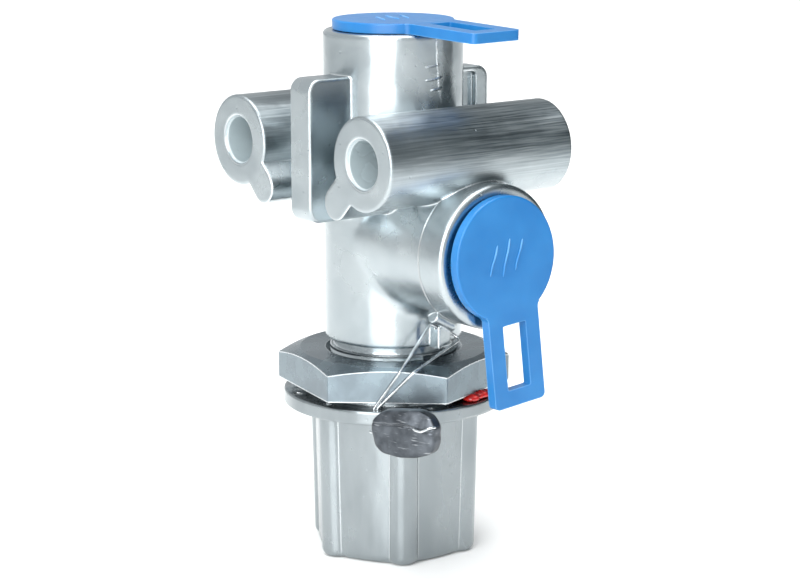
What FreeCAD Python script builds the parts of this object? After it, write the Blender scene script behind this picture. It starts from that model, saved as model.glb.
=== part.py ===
import FreeCAD, Part
import math
import os

# Protection valve for compressed air, all sizes in millimetres.
# +Z runs up the barrel, z = 0 is the foot of the adjusting cap, the side
# port faces -Y and the two mounting tubes lie along X.

V = FreeCAD.Vector
ORIGIN = V(0, 0, 0)
UP = V(0, 0, 1)

# Barrel of the body casting
barrel_d = 26.0
barrel_foot_d = 25.7
barrel_foot_z = 41.1
barrel_top_z = 98.7
barrel_edge_r = 0.8

# Mounting tubes, one each side of the barrel, and the rounded rib under each
tube_spacing = 38.5
tube_d = 16.9
tube_z = 77.8
mount_back_x = -21.75
mount_front_x = 19.8
tube_bore_d = 8.5
tube_chamfer = 0.5
tube_edge_r = 0.4
rib_w = 6.0
rib_reach = 14.2
rib_angle = 45.0

# Web in the plane of the barrel axis, between the tubes
web_t = 6.1
web_offset_y = -0.6
web_h = 26.1
web_top_drop = 7.65
web_corner_r = 2.4
web_edge_r = 0.5
pocket_depth = 1.2
pocket_rim = 3.0
pocket_top_rim = 0.9
pocket_corner_r = 1.0

# Side port boss
port_z = 60.5
port_face_y = -30.3
boss_d = 26.2
boss_neck_d = 24.6
collar_len = 6.3
boss_edge = 0.9
boss_blend_r = 3.0

# Quarter-inch pipe thread in both ports: core hole and mouth chamfer
port_core_d = 11.45
port_mouth_d = 13.2
port_depth = 13.0

# Air way inside the body
inlet_d = 7.0
outlet_d = 7.5
piston_bore_d = 18.0

# Threaded neck that carries the lock nut and the cap
neck_thread_d = 24.0
neck_relief_d = 22.4
neck_relief_len = 1.6
neck_foot_z = 20.5
neck_chamfer = 0.8
neck_gap = 2.3

# Seal-wire lug on the barrel under the port boss: a short sloping cone on a block
lug_left_x = -2.0
lug_right_x = 2.3
lug_left_rise = 6.2
lug_right_rise = 4.1
lug_left_r = 1.25
lug_right_r = 1.7
lug_out = 1.65
lug_block_w = 3.0
lug_hole_d = 0.9
lug_hole_drop = 1.8

# Hexagon lock nut
nut_af = 38.0
nut_t = 6.4
nut_turn = -40.9
nut_chamfer_angle = 20.0
nut_face_inset = 1.3
nut_edge_r = 0.35
nut_lead_in = 0.9

# Adjusting cap; its flange reaches past the flats of the nut, so the wire holes stay open
flange_lip = 1.8
flange_t = 2.6
flange_edge_r = 0.35
nut_land_inset = 2.5
nut_land_t = 1.3
cap_rib_count = 6
cap_rib_setback = 3.8
cap_rib_draft = 0.75
cap_rib_w = 5.4
cap_flat_ratio = 0.877
cap_flank_ratio = 0.905
cap_edge_r = 1.6
cap_floor = 2.6
cap_cavity_d = 21.6
cap_cavity_corner_r = 0.8
cap_thread_run = 2.5
cap_hole_count = 12
cap_hole_d = 1.5
cap_hole_inset = 1.6
cap_hole_turn = 13.0

# Piston and what it carries; its heights are counted down from the seat
piston_fit = 0.08
ring_fit = 0.03
piston_h = 26.5
piston_crown_drop = 9.0
piston_stem_d = 13.4
piston_travel = 2.5
piston_hollow_d = 12.6
piston_hollow_depth = 5.5
ring_drop = 13.5
ring_section = 2.4
ring_depth = 2.0
guide_drop = 21.0
guide_h = 4.0
guide_t = 1.2
disc_d = 11.2
disc_t = 2.5
disc_rim = 0.6
screw_d = 3.0
screw_head_d = 4.4
screw_head_h = 1.4
screw_slot_w = 0.8
screw_len = 9.0
washer_d = 5.6
washer_t = 0.5

# Valve seat pressed into the body from below
seat_over_port = 2.0
seat_reach = 2.0
seat_lip_w = 0.9
seat_d = 13.0
seat_h = 7.0
seat_cone_d = 11.0

# Spring set
wire_d = 2.2
spring_mean_d = 13.2
spring_turns = 7
spring_end_angle = 150.0
spring_plate_d = 15.8
spring_plate_t = 1.5
spring_collar_h = 2.5
spring_collar_wall = 1.2
spring_play = 0.25

# Small internal pieces
stop_ring_w = 1.75
stop_ring_t = 1.2
stop_ring_bite = 0.9
stop_ring_gap = 5.0
neck_ring_z = 22.3
neck_ring_section = 1.6
neck_ring_depth = 1.3
strainer_t = 0.8
strainer_play = 0.1
clip_wire_d = 1.0
clip_gap = 4.0
vent_d = 2.0
vent_pocket_d = 6.0
vent_pocket_depth = 1.2

# Transport plugs
plug_disc_d = 22.6
plug_t = 1.9
plug_edge_r = 0.35
plug_back_edge_r = 0.2
plug_stem_d = 11.5
plug_stem_tip_d = 10.5
plug_stem_len = 7.5
plug_wall = 1.2
tab_w = 11.6
tab_offset = 0.5
tab_reach = 26.9
tab_corner_r = 1.0
tab_root_r = 1.2
window_w = 5.3
window_len = 11.9
window_corner_r = 0.3
tab_end_bar = 3.05
top_tab_turn = 4.4
top_tab_droop = 1.9
top_plug_lift = 0.1
side_tab_turn = 5.2
side_plug_lift = 0.66
side_plug_tilt = 1.9

# Lead seal, its wire and the lacquer dab
seal_w = 13.9
seal_h = 9.0
seal_t = 4.5
seal_corner_r = 3.6
seal_edge_r = 0.9
seal_angle = -32.6
seal_off = 6.6
seal_z = 29.2
seal_turn = 19.0
seal_lean = 6.0
wire_thickness = 0.55
wire_bend_r = 0.65
wire_lift = 0.65
strand_gap = 0.62
strand_inset = 0.28
wire_hole_number = -2
paint_angle = 22.0
paint_span = 15.0
paint_inset = 0.4
paint_w = 3.2

# Worked-out places
barrel_r = barrel_d / 2
tube_r = tube_d / 2
tube_y = tube_spacing / 2
tube_len = mount_front_x - mount_back_x
web_high_z = barrel_top_z - web_top_drop
web_low_z = web_high_z - web_h
boss_r = boss_d / 2
core_r = port_core_d / 2
mouth_r = port_mouth_d / 2
piston_bore_r = piston_bore_d / 2
neck_r = neck_thread_d / 2
nut_top_z = barrel_foot_z - neck_gap
nut_low_z = nut_top_z - nut_t
nut_face_r = nut_af / 2 - nut_face_inset
flange_top_z = nut_low_z - nut_land_t
flange_low_z = flange_top_z - flange_t
flange_r = nut_af / 2 + flange_lip
cap_rib_top_r = flange_r - cap_rib_setback
cap_rib_foot_r = cap_rib_top_r - cap_rib_draft
cap_hole_r = flange_r - cap_hole_inset
cap_hole_step = 360 / cap_hole_count
cap_thread_low_z = neck_foot_z - cap_thread_run
seat_z = port_z + seat_over_port
chamber_top_z = seat_z + seat_reach
piston_low_z = seat_z - piston_h
piston_crown_z = seat_z - piston_crown_drop
ring_groove_z = seat_z - ring_drop
guide_groove_z = seat_z - guide_drop
screw_foot_z = seat_z + washer_t - screw_len
top_port_floor_z = barrel_top_z - port_depth
side_port_floor_y = port_face_y + port_depth
lug_y = -(barrel_foot_d / 2 + lug_out)
spring_collar_r = spring_mean_d / 2 - wire_d / 2 - spring_play


def rounded_wire(corners):
    """Closed wire in the XZ plane through (x, z, radius) corners; a radius over 0 rounds its corner."""
    count = len(corners)
    edges = []
    starts = []
    ends = []
    for i in range(count):
        x, z, radius = corners[i]
        here = V(x, 0, z)
        before = V(corners[i - 1][0], 0, corners[i - 1][1])
        after = V(corners[(i + 1) % count][0], 0, corners[(i + 1) % count][1])
        if radius <= 0:
            starts.append(here)
            ends.append(here)
            continue
        to_before = (before - here).normalize()
        to_after = (after - here).normalize()
        half = to_before.getAngle(to_after) / 2
        reach = radius / math.tan(half)
        bisector = (to_before + to_after).normalize()
        near = here + bisector * (radius / math.sin(half) - radius)
        starts.append(here + to_before * reach)
        ends.append(here + to_after * reach)
        edges.append(Part.Arc(starts[-1], near, ends[-1]).toShape())
    for i in range(count):
        a = ends[i]
        b = starts[(i + 1) % count]
        if a.distanceToPoint(b) > 1e-6:
            edges.append(Part.LineSegment(a, b).toShape())
    return Part.Wire(Part.__sortEdges__(edges))


def turned(corners):
    """Solid of revolution about Z from (r, z, radius) corners."""
    return Part.Face(rounded_wire(corners)).revolve(ORIGIN, UP, 360)


def ring(inner_r, outer_r, low_z, high_z, edge_r=0.0):
    """Plain ring about Z, with rounded edges if asked."""
    return turned([(inner_r, low_z, edge_r), (outer_r, low_z, edge_r),
                   (outer_r, high_z, edge_r), (inner_r, high_z, edge_r)])


def drum(radius, low_z, high_z):
    return Part.makeCylinder(radius, high_z - low_z, V(0, 0, low_z))


def along_x(shape):
    """Turn a shape built about Z so that its Z axis points along +X."""
    return shape.copy().rotated(ORIGIN, V(0, 1, 0), 90)


def along_minus_y(shape):
    """Turn a shape built about Z so that its Z axis points along -Y, keeping X."""
    return shape.copy().rotated(ORIGIN, V(1, 0, 0), 90)


def polar(radius, angle, z=0.0):
    """Point at an angle counted from -Y towards +X."""
    a = math.radians(angle)
    return V(radius * math.sin(a), -radius * math.cos(a), z)


def around(radius, angle, z=0.0):
    """Point at an angle counted from +X, counterclockwise seen from above."""
    a = math.radians(angle)
    return V(radius * math.cos(a), radius * math.sin(a), z)


def bar_along_x(corners, start_x, length):
    """Bar from start_x along +X whose section is given by (y, z, radius) corners."""
    bar = Part.Face(rounded_wire(corners)).extrude(V(0, -length, 0))
    return bar.rotated(ORIGIN, UP, 90).translated(V(start_x, 0, 0))


def bent_rod(points, bend_r, thickness):
    """Round rod along straight runs through the points, with an arc at each inner point."""
    edges = []
    at = points[0]
    for i in range(1, len(points) - 1):
        here = points[i]
        to_before = (points[i - 1] - here).normalize()
        to_after = (points[i + 1] - here).normalize()
        half = to_before.getAngle(to_after) / 2
        reach = bend_r / math.tan(half)
        bisector = (to_before + to_after).normalize()
        near = here + bisector * (bend_r / math.sin(half) - bend_r)
        start = here + to_before * reach
        end = here + to_after * reach
        edges.append(Part.LineSegment(at, start).toShape())
        edges.append(Part.Arc(start, near, end).toShape())
        at = end
    edges.append(Part.LineSegment(at, points[-1]).toShape())
    path = Part.Wire(edges)
    section = Part.Wire(Part.makeCircle(thickness / 2, points[0], points[1] - points[0]))
    return path.makePipeShell([section], True, True)


def port_hole(depth):
    """Tool for one threaded port about Z: mouth at z = 0, core hole going down, chamfered mouth."""
    return turned([(0, -depth, 0), (core_r, -depth, 0), (core_r, core_r - mouth_r, 0),
                   (mouth_r, 0, 0), (mouth_r, 1, 0), (0, 1, 0)])


def turned_barrel():
    """Barrel with its threaded neck, relief, and the groove for the neck ring, in one profile."""
    relief_z = barrel_foot_z - neck_relief_len
    groove_top = neck_ring_z + neck_ring_section
    groove_r = neck_r - neck_ring_depth
    return turned([(0, neck_foot_z, 0), (neck_r - neck_chamfer, neck_foot_z, 0),
                   (neck_r, neck_foot_z + neck_chamfer, 0), (neck_r, neck_ring_z, 0),
                   (groove_r, neck_ring_z, 0), (groove_r, groove_top, 0), (neck_r, groove_top, 0),
                   (neck_r, relief_z, 0), (neck_relief_d / 2, relief_z, 0),
                   (neck_relief_d / 2, barrel_foot_z, 0),
                   (barrel_foot_d / 2, barrel_foot_z, 0.4),
                   (barrel_r, barrel_top_z, barrel_edge_r), (0, barrel_top_z, 0)])


def boss():
    """Side port boss: neck, collar and rounded rim, along -Y at the port height."""
    reach = -port_face_y
    collar_start = reach - collar_len
    stub = turned([(0, 0, 0), (boss_neck_d / 2, 0, 0), (boss_neck_d / 2, collar_start, 0.8),
                   (boss_r, collar_start, 0.5), (boss_r, reach, boss_edge), (0, reach, 0)])
    return along_minus_y(stub).translated(V(0, 0, port_z))


def mounting_tube(side):
    """Tube along X on one side of the barrel (side -1 is the port side) with its rounded rib."""
    stick = turned([(0, 0, 0), (tube_r, 0, tube_edge_r), (tube_r, tube_len, tube_edge_r),
                    (0, tube_len, 0)])
    tube = along_x(stick).translated(V(mount_back_x, 0, 0))
    half_w = rib_w / 2
    round_r = half_w * 0.999
    rib = bar_along_x([(-half_w, 0, 0), (-half_w, -rib_reach, round_r),
                       (half_w, -rib_reach, round_r), (half_w, 0, 0)], mount_back_x, tube_len)
    rib = rib.rotated(ORIGIN, V(1, 0, 0), -side * rib_angle)
    return tube.fuse(rib).translated(V(0, side * tube_y, tube_z))


def tube_bore(side):
    """Bore of one mounting tube with a chamfer at each end."""
    bore_r = tube_bore_d / 2
    wide_r = bore_r + tube_chamfer
    tool = turned([(0, -1, 0), (wide_r, -1, 0), (wide_r, 0, 0), (bore_r, tube_chamfer, 0),
                   (bore_r, tube_len - tube_chamfer, 0), (wide_r, tube_len, 0),
                   (wide_r, tube_len + 1, 0), (0, tube_len + 1, 0)])
    return along_x(tool).translated(V(mount_back_x, side * tube_y, tube_z))


def web():
    """Flat web through the barrel axis, with a shallow cored pocket in its port side."""
    front_y = web_offset_y - web_t / 2
    plate = Part.Face(rounded_wire([(mount_back_x, web_low_z, web_corner_r),
                                    (mount_front_x, web_low_z, web_corner_r),
                                    (mount_front_x, web_high_z, web_corner_r),
                                    (mount_back_x, web_high_z, web_corner_r)]))
    plate = plate.extrude(V(0, web_t, 0)).translated(V(0, front_y, 0))
    plate = plate.makeFillet(web_edge_r, plate.Edges)
    pocket_front_x = mount_front_x - pocket_rim
    pocket_high_z = web_high_z - pocket_top_rim
    pocket = Part.Face(rounded_wire([(0, web_low_z + pocket_rim, 0),
                                     (pocket_front_x, web_low_z + pocket_rim, pocket_corner_r),
                                     (pocket_front_x, pocket_high_z, pocket_corner_r),
                                     (0, pocket_high_z, 0)]))
    pocket = pocket.extrude(V(0, pocket_depth, 0)).translated(V(0, front_y, 0))
    return plate.cut(pocket)


def seal_lug():
    """Sloping cone for the sealing wire under the port boss, on a block that runs down the barrel."""
    left, right = lug_ends(0)
    axis = right - left
    cone = Part.makeCone(lug_left_r, lug_right_r, axis.Length, left, axis)
    mid_x = (lug_left_x + lug_right_x) / 2
    block = Part.makeBox(lug_block_w, lug_out + lug_left_r, lug_right_rise,
                         V(mid_x - lug_block_w / 2, lug_y - lug_right_r / 2, barrel_foot_z))
    return cone.fuse(block)


def lug_ends(drop):
    """Left and right end of the cone's axis, or of a line that far below it."""
    return (V(lug_left_x, lug_y, barrel_foot_z + lug_left_rise - drop),
            V(lug_right_x, lug_y, barrel_foot_z + lug_right_rise - drop))


def wire_way():
    """Hole for the sealing wire through the block, just under the cone and parallel to it."""
    left, right = lug_ends(lug_hole_drop)
    return Part.makeCylinder(lug_hole_d / 2, (right - left).Length, left, right - left)


def air_way():
    """Everything bored into the body: ports, inlet, seat pocket, chamber and piston bore."""
    stop_top = piston_low_z - piston_travel
    groove_r = piston_bore_r + stop_ring_bite
    inside = turned([(0, neck_foot_z - 1, 0), (piston_bore_r, neck_foot_z - 1, 0),
                     (piston_bore_r, stop_top - stop_ring_t, 0),
                     (groove_r, stop_top - stop_ring_t, 0), (groove_r, stop_top, 0),
                     (piston_bore_r, stop_top, 0), (piston_bore_r, chamber_top_z, 0),
                     (seat_d / 2, chamber_top_z, 0), (seat_d / 2, seat_z + seat_h, 0),
                     (inlet_d / 2, seat_z + seat_h, 0), (inlet_d / 2, top_port_floor_z + 1, 0),
                     (0, top_port_floor_z + 1, 0)])
    top_port = port_hole(port_depth).translated(V(0, 0, barrel_top_z))
    side_port = along_minus_y(port_hole(port_depth)).translated(V(0, port_face_y, port_z))
    outlet_len = -side_port_floor_y
    outlet = along_minus_y(drum(outlet_d / 2, 0, outlet_len + 1)).translated(V(0, 0, port_z))
    return [inside, top_port, side_port, outlet]


def valve_body():
    trunk = turned_barrel().fuse(boss())
    corner = [e for e in trunk.Edges if boss_meets_barrel(e)]
    trunk = trunk.makeFillet(boss_blend_r, corner)
    casting = trunk.fuse([mounting_tube(-1), mounting_tube(1), web(), seal_lug()])
    return casting.cut([tube_bore(-1), tube_bore(1), wire_way()] + air_way())


def boss_meets_barrel(edge):
    """True on the seam where the boss neck runs out of the barrel."""
    box = edge.BoundBox
    inside_boss = box.YMin > port_face_y + collar_len + 1 and box.YMax < -1
    return inside_boss and abs(box.Center.z - port_z) < boss_r and box.ZLength > 4


def lock_nut():
    """Hexagon nut with a chamfered top and softened edges, screwed on the neck."""
    corner_r = nut_af / 2 / math.cos(math.pi / 6)
    corners = [polar(corner_r, nut_turn + 30 + 60 * k, nut_low_z) for k in range(6)]
    prism = Part.Face(Part.makePolygon(corners + corners[:1])).extrude(V(0, 0, nut_t))
    drop = (corner_r + 1 - nut_face_r) * math.tan(math.radians(nut_chamfer_angle))
    cone = turned([(0, nut_low_z, 0), (corner_r + 1, nut_low_z, 0), (corner_r + 1, nut_top_z - drop, 0),
                   (nut_face_r, nut_top_z, 0), (0, nut_top_z, 0)])
    nut = prism.common(cone)
    sides = [e for e in nut.Edges if e.BoundBox.ZLength > nut_t / 2 and e.Vertexes]
    nut = nut.makeFillet(nut_edge_r, sides)
    wide_r = neck_r + nut_lead_in
    bore = turned([(0, nut_low_z - 1, 0), (wide_r, nut_low_z - 1, 0), (wide_r, nut_low_z, 0),
                   (neck_r, nut_low_z + nut_lead_in, 0), (neck_r, nut_top_z - nut_lead_in, 0),
                   (wide_r, nut_top_z, 0), (wide_r, nut_top_z + 1, 0), (0, nut_top_z + 1, 0)])
    return nut.cut(bore)


def grip_section(rib_r, z):
    """Outline of the grip at one height: six round ribs with slightly crowned flats between them."""
    flank_r = rib_r * cap_flank_ratio
    flat_r = rib_r * cap_flat_ratio
    half_angle = math.degrees(math.asin(cap_rib_w / 2 / flank_r))
    step = 360 / cap_rib_count
    edges = []
    for k in range(cap_rib_count):
        mid = step * (k + 0.5)
        left = polar(flank_r, mid - half_angle, z)
        right = polar(flank_r, mid + half_angle, z)
        beyond = polar(flank_r, mid + step - half_angle, z)
        edges.append(Part.Arc(left, polar(rib_r, mid, z), right).toShape())
        edges.append(Part.Arc(right, polar(flat_r, mid + step / 2, z), beyond).toShape())
    return Part.Wire(edges)


def adjusting_cap():
    """Cap with six drafted grip ribs, a flange with wire holes and a land for the nut."""
    grip = Part.makeLoft([grip_section(cap_rib_foot_r, 0), grip_section(cap_rib_top_r, flange_low_z)],
                         True, True)
    foot_edges = [e for e in grip.Edges if e.BoundBox.ZMax < 0.1]
    grip = grip.makeFillet(cap_edge_r, foot_edges)
    land_r = nut_af / 2 - nut_land_inset
    flange = turned([(0, flange_low_z, 0), (flange_r, flange_low_z, flange_edge_r),
                     (flange_r, flange_top_z, flange_edge_r), (land_r, flange_top_z, 0),
                     (land_r, nut_low_z, flange_edge_r), (0, nut_low_z, 0)])
    inside = turned([(0, cap_floor, 0), (cap_cavity_d / 2, cap_floor, cap_cavity_corner_r),
                     (cap_cavity_d / 2, cap_thread_low_z, 0), (neck_r, cap_thread_low_z, 0),
                     (neck_r, nut_low_z + 1, 0), (0, nut_low_z + 1, 0)])
    cuts = [inside, drum(vent_d / 2, -1, cap_floor + 1),
            drum(vent_pocket_d / 2, cap_floor - vent_pocket_depth, cap_floor + 1)]
    for k in range(cap_hole_count):
        hole = drum(cap_hole_d / 2, flange_low_z - 1, flange_top_z + 1)
        cuts.append(hole.translated(polar(cap_hole_r, cap_hole_turn + cap_hole_step * k)))
    return grip.fuse(flange).cut(cuts)


def piston():
    """Stepped piston, hollow from below, with grooves for its ring and guide and a recess on top."""
    outer = piston_bore_r - piston_fit
    stem_r = piston_stem_d / 2
    hollow_r = piston_hollow_d / 2
    hollow_z = piston_low_z + piston_hollow_depth
    top = seat_z - disc_rim
    guide_r = outer - guide_t
    ring_r = outer - ring_depth
    ring_top = ring_groove_z + ring_section
    body = turned([(0, hollow_z, 0), (hollow_r, hollow_z, 0), (hollow_r, piston_low_z, 0),
                   (outer, piston_low_z, 0), (outer, guide_groove_z, 0), (guide_r, guide_groove_z, 0),
                   (guide_r, guide_groove_z + guide_h, 0), (outer, guide_groove_z + guide_h, 0),
                   (outer, ring_groove_z, 0), (ring_r, ring_groove_z, 0), (ring_r, ring_top, 0),
                   (outer, ring_top, 0), (outer, piston_crown_z, 0.3), (stem_r, piston_crown_z, 0.5),
                   (stem_r, top, 0), (disc_d / 2, top, 0), (disc_d / 2, seat_z - disc_t, 0),
                   (0, seat_z - disc_t, 0)])
    return body.cut(drum(screw_d / 2, screw_foot_z, seat_z))


def piston_o_ring():
    outer = piston_bore_r - ring_fit
    inner = piston_bore_r - piston_fit - ring_depth
    return ring(inner, outer, ring_groove_z, ring_groove_z + ring_section, 0.7)


def guide_ring():
    outer = piston_bore_r - ring_fit
    inner = piston_bore_r - piston_fit - guide_t
    return ring(inner, outer, guide_groove_z, guide_groove_z + guide_h)


def valve_disc():
    return ring(screw_d / 2, disc_d / 2, seat_z - disc_t, seat_z)


def disc_washer():
    return ring(screw_d / 2, washer_d / 2, seat_z, seat_z + washer_t)


def disc_screw():
    """Round-head screw with a driving slot, holding the rubber disc on the piston."""
    head_z = seat_z + washer_t
    head_r = screw_head_d / 2
    screw = turned([(0, screw_foot_z, 0), (screw_d / 2, screw_foot_z, 0), (screw_d / 2, head_z, 0),
                    (head_r, head_z, 0), (head_r, head_z + screw_head_h, 0.5),
                    (0, head_z + screw_head_h, 0)])
    slot = Part.makeBox(screw_head_d, screw_slot_w, screw_head_h,
                        V(-head_r, -screw_slot_w / 2, head_z + screw_head_h / 2))
    return screw.cut(slot)


def valve_seat():
    """Brass seat: a cone down to a flat lip, bored through for the inlet air."""
    bore_r = inlet_d / 2
    lip_r = bore_r + seat_lip_w
    cone_r = seat_cone_d / 2
    return turned([(bore_r, seat_z, 0), (lip_r, seat_z, 0), (cone_r, chamber_top_z, 0),
                   (seat_d / 2, chamber_top_z, 0), (seat_d / 2, seat_z + seat_h, 0),
                   (bore_r, seat_z + seat_h, 0)])


def spring_plate(outer_r, collar_r, low_z, collar_up):
    """Pressed spring plate with a collar that centres the spring from inside."""
    inner_r = collar_r - spring_collar_wall
    high_z = low_z + spring_plate_t
    if collar_up:
        return turned([(inner_r, low_z, 0), (outer_r, low_z, 0), (outer_r, high_z, 0.3),
                       (collar_r, high_z, 0), (collar_r, high_z + spring_collar_h, 0.3),
                       (inner_r, high_z + spring_collar_h, 0)])
    return turned([(inner_r, low_z - spring_collar_h, 0), (collar_r, low_z - spring_collar_h, 0.3),
                   (collar_r, low_z, 0), (outer_r, low_z, 0.3), (outer_r, high_z, 0),
                   (inner_r, high_z, 0)])


def lower_spring_seat():
    outer_r = cap_cavity_d / 2 - cap_cavity_corner_r - spring_play
    return spring_plate(outer_r, spring_collar_r, cap_floor, True)


def upper_spring_seat():
    plate = spring_plate(spring_plate_d / 2, spring_collar_r, piston_low_z - spring_plate_t, False)
    spigot_r = piston_hollow_d / 2
    spigot = ring(spigot_r - spring_collar_wall, spigot_r, piston_low_z,
                  piston_low_z + spring_collar_wall)
    return plate.fuse(spigot)


def main_spring():
    """Compression spring: open turns between two flat end turns, with both ends ground."""
    mean_r = spring_mean_d / 2
    low = cap_floor + spring_plate_t
    high = piston_low_z - spring_plate_t
    grind = wire_d / 4
    start = low + wire_d / 2 - grind
    rise = high - low - wire_d + 2 * grind
    helix = Part.makeHelix(rise / spring_turns, rise, mean_r).translated(V(0, 0, start))
    half = spring_end_angle / 2
    lead_in = Part.Arc(around(mean_r, -spring_end_angle, start), around(mean_r, -half, start),
                       around(mean_r, 0, start)).toShape()
    lead_out = Part.Arc(around(mean_r, 0, start + rise), around(mean_r, half, start + rise),
                        around(mean_r, spring_end_angle, start + rise)).toShape()
    path = Part.Wire([lead_in] + helix.Edges + [lead_out])
    heading = V(0, 0, 1).cross(around(mean_r, -spring_end_angle))
    section = Part.makeCircle(wire_d / 2, around(mean_r, -spring_end_angle, start), heading)
    coil = path.makePipeShell([Part.Wire(section)], True, True)
    return coil.common(drum(mean_r + wire_d, low, high))


def stop_ring():
    """Internal retaining ring that limits how far the piston opens."""
    top = piston_low_z - piston_travel
    outer = piston_bore_r + stop_ring_bite
    band = ring(outer - stop_ring_w, outer, top - stop_ring_t, top)
    gap = Part.makeBox(outer, stop_ring_gap, stop_ring_t, V(0, -stop_ring_gap / 2, top - stop_ring_t))
    return band.cut(gap)


def neck_o_ring():
    return ring(neck_r - neck_ring_depth, neck_r, neck_ring_z, neck_ring_z + neck_ring_section, 0.4)


def inlet_strainer():
    return drum(core_r - strainer_play, top_port_floor_z, top_port_floor_z + strainer_t)


def strainer_clip():
    """Open wire ring sprung into the port core above the strainer."""
    z = top_port_floor_z + strainer_t + clip_wire_d / 2
    mean_r = core_r - clip_wire_d / 2
    whole = Part.makeTorus(mean_r, clip_wire_d / 2, V(0, 0, z))
    gap = Part.makeBox(core_r, clip_gap, 2 * clip_wire_d, V(0, -clip_gap / 2, z - clip_wire_d))
    return whole.cut(gap)


def vent_filter():
    return drum(vent_pocket_d / 2, cap_floor - vent_pocket_depth, cap_floor)


def transport_plug(droop=0.0):
    """Plug about Z: disc above z = 0, hollow tapered stem below, pull tab with a window towards -Y."""
    disc_r = plug_disc_d / 2
    root_y = -math.sqrt(disc_r ** 2 - (tab_w / 2) ** 2)
    disc = turned([(0, 0, 0), (disc_r, 0, plug_back_edge_r), (disc_r, plug_t, plug_edge_r),
                   (0, plug_t, 0)])
    tab = Part.makeBox(tab_w, tab_reach, plug_t, V(tab_offset - tab_w / 2, -tab_reach, 0))
    tab = tab.makeFillet(tab_corner_r, [e for e in upright_edges(tab) if e.BoundBox.YMax < root_y])
    tab = tab.cut(tab_window())
    tab = tab.fuse([tab_gusset(-1), tab_gusset(1)])
    tab = tab.rotated(V(0, root_y, 0), V(1, 0, 0), droop)
    outer_tab = tab.cut(drum(disc_r - plug_edge_r, -plug_t, 2 * plug_t))
    stem_r = plug_stem_d / 2
    tip_r = plug_stem_tip_d / 2
    stem = turned([(stem_r - plug_wall, 0, 0), (stem_r, 0, 0), (tip_r, -plug_stem_len, plug_edge_r),
                   (tip_r - plug_wall, -plug_stem_len, 0)])
    return disc.fuse([outer_tab, stem])


def tab_gusset(side):
    """Small piece that rounds the inner corner between the disc and one edge of the tab."""
    disc_r = plug_disc_d / 2
    edge_x = tab_w / 2 + side * tab_offset
    centre_x = edge_x + tab_root_r
    centre_y = -math.sqrt((disc_r + tab_root_r) ** 2 - centre_x ** 2)
    touch = disc_r / (disc_r + tab_root_r)
    piece = Part.makeBox(centre_x * touch - edge_x, centre_y * touch - centre_y, plug_t,
                         V(edge_x, centre_y, 0))
    piece = piece.cut(Part.makeCylinder(tab_root_r, plug_t, V(centre_x, centre_y, 0)))
    if side < 0:
        piece = piece.mirror(ORIGIN, V(1, 0, 0))
    return piece


def upright_edges(shape):
    return [e for e in shape.Edges if e.BoundBox.ZLength > plug_t / 2]


def tab_window():
    """Tool for the window in the pull tab."""
    window = Part.makeBox(window_w, window_len, plug_t,
                          V(tab_offset - window_w / 2, tab_end_bar - tab_reach, 0))
    return window.makeFillet(window_corner_r, upright_edges(window))


def top_port_plug():
    """Plug pressed home in the top port; its tab droops a little under its own weight."""
    plug = transport_plug(top_tab_droop).rotated(ORIGIN, UP, top_tab_turn)
    return plug.translated(V(0, 0, barrel_top_z + top_plug_lift))


def side_port_plug():
    """Plug in the side port, pressed in a little askew about the mouth of the core hole."""
    mouth_depth = mouth_r - core_r
    plug = transport_plug().rotated(ORIGIN, UP, side_tab_turn)
    plug = plug.translated(V(0, 0, mouth_depth + side_plug_lift))
    plug = along_minus_y(plug).rotated(ORIGIN, V(1, 0, 0), -side_plug_tilt)
    return plug.translated(V(0, port_face_y + mouth_depth, port_z))


def seal_middle():
    return polar(flange_r + seal_off, seal_angle, seal_z)


def in_seal(along, across, height):
    """Point given from the middle of the lead seal: along its axis, across it and up."""
    a = math.radians(seal_turn)
    return seal_middle() + V(along * math.cos(a) - across * math.sin(a),
                             along * math.sin(a) + across * math.cos(a), height)


def on_nut(across, z):
    """Point just off the nut's flat that faces the seal."""
    a = math.radians(nut_turn)
    return polar(nut_af / 2 + wire_lift, nut_turn, z) + V(math.cos(a), math.sin(a), 0) * across


def seal_wire():
    """One wire: out of the seal, up through a flange hole and past the nut, through the lug, and back."""
    hole_angle = cap_hole_turn + cap_hole_step * wire_hole_number
    a = math.radians(hole_angle)
    aside = V(math.cos(a), math.sin(a), 0) * (strand_gap / 2)
    above = polar(cap_hole_r + strand_inset, hole_angle, flange_top_z + nut_land_t / 3)
    below = polar(cap_hole_r + strand_inset, hole_angle, flange_low_z - 2 * wire_bend_r)
    edge_z = nut_top_z - nut_face_inset / 3
    left, right = lug_ends(lug_hole_drop)
    step = (right - left).normalize() * wire_bend_r
    half = strand_gap / 2
    entry = seal_w / 2 + wire_bend_r
    points = [in_seal(-half, 2.0, -1.0), in_seal(-half, entry, -1.0), below - aside, above - aside,
              on_nut(2.3, edge_z), left - step, right + step, right + V(1.1, -1.2, -1.1),
              on_nut(4.8, edge_z), above + aside, below + aside, in_seal(half, entry, -1.0),
              in_seal(half, 2.0, -1.0)]
    return bent_rod(points, wire_bend_r, wire_thickness)


def lead_seal():
    """Crimped lead seal: a short slug with a rounded oblong outline, pierced by the wire."""
    half_w = seal_w / 2
    half_h = seal_h / 2
    outline = rounded_wire([(-half_w, -half_h, seal_corner_r), (half_w, -half_h, seal_corner_r),
                            (half_w, half_h, seal_corner_r), (-half_w, half_h, seal_corner_r)])
    slug = Part.Face(outline).extrude(V(0, seal_t, 0)).translated(V(0, -seal_t / 2, 0))
    rims = [e for e in slug.Edges if e.BoundBox.YLength < seal_t / 2]
    slug = slug.makeFillet(seal_edge_r, rims).rotated(ORIGIN, V(0, 1, 0), seal_lean)
    slug = slug.rotated(ORIGIN, UP, 90 + seal_turn)
    return slug.translated(seal_middle()).cut(seal_wire())


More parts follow.
